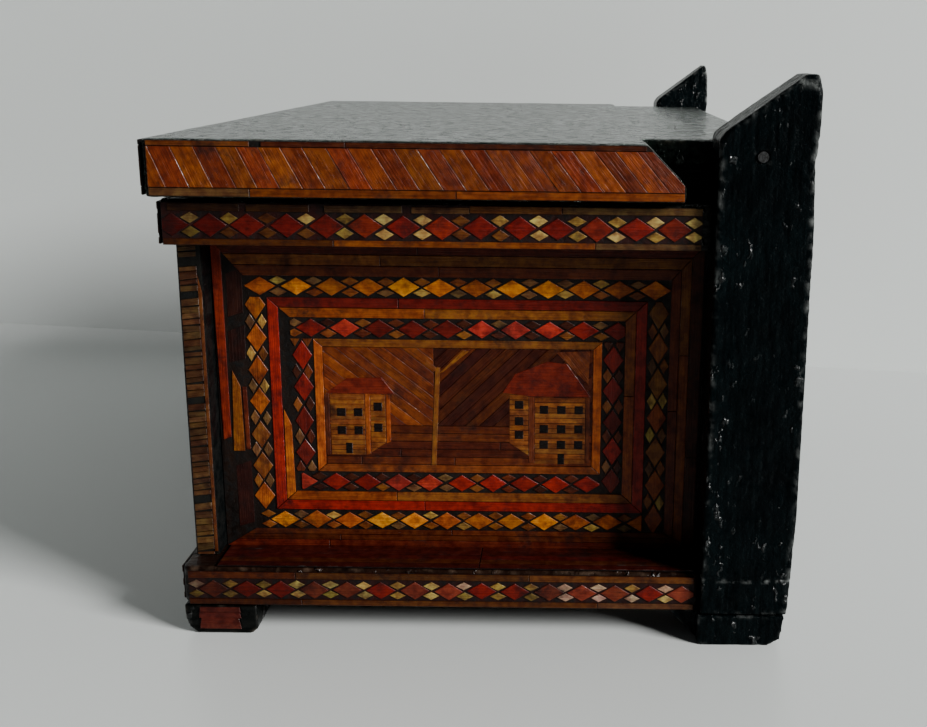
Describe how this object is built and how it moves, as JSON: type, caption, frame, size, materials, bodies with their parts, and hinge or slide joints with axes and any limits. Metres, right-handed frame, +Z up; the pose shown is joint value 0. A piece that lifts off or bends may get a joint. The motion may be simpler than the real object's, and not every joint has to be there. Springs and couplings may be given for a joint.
{
  "type": "straw-inlaid wooden box",
  "caption": "Oblong wooden casket with low feet, moulded base and rim, upright ears at the back and a pinned lid that lifts; ends covered in coloured straw inlay.",
  "frame": {"origin": "centre of the footprint, on the surface the feet stand on", "axes": "+X along the length, -Y is the front, +Z up"},
  "size_m": [0.27, 0.1844, 0.166],
  "materials": {
    "black_painted_wood": "thick worn black paint on softwood",
    "bare_wood": "unpainted softwood",
    "golden_straw": "glued split straw, golden, silky",
    "red_straw": "glued split straw, dyed red, silky",
    "pin_steel": "dull steel nail"
  },
  "bodies": {
    "box": {"back_board": "black_painted_wood", "base_rail_back": "black_painted_wood", "base_rail_front": "black_painted_wood", "base_rail_left": "black_painted_wood", "base_rail_right": "black_painted_wood", "bottom_board": "bare_wood", "end_board_left": "black_painted_wood", "end_board_right": "black_painted_wood", "foot_front_left": "black_painted_wood", "foot_front_right": "black_painted_wood", "foot_rear_left": "black_painted_wood", "foot_rear_right": "black_painted_wood", "front_board": "black_painted_wood", "hinge_pin_left": "pin_steel", "hinge_pin_right": "pin_steel", "hinge_post_left": "black_painted_wood", "hinge_post_right": "black_painted_wood", "rim_rail_front": "black_painted_wood", "rim_rail_left": "black_painted_wood", "rim_rail_right": "black_painted_wood", "straw_base_end_left": "red_straw", "straw_base_end_right": "red_straw", "straw_base_front": "red_straw", "straw_corner_strip_left": "golden_straw", "straw_corner_strip_right": "golden_straw", "straw_foot_end_left": "red_straw", "straw_foot_end_right": "red_straw", "straw_ledge_left": "red_straw", "straw_ledge_right": "red_straw", "straw_panel_end_left": "golden_straw", "straw_panel_end_right": "golden_straw", "straw_panel_front": "golden_straw", "straw_rim_end_left": "red_straw", "straw_rim_end_right": "red_straw", "straw_rim_front": "red_straw"},
    "lid": {"lid_board": "black_painted_wood", "lid_rail_front": "black_painted_wood", "lid_rail_left": "black_painted_wood", "lid_rail_right": "black_painted_wood", "straw_lid_end_left": "golden_straw", "straw_lid_end_right": "golden_straw", "straw_lid_front": "golden_straw"}
  },
  "joints": [
    {"name": "lid_hinge", "type": "hinge", "parent": "box", "child": "lid", "pos_m": [0, 0.0769, 0.144], "axis": [-1, 0, 0], "range_deg": [0, 123]}
  ]
}
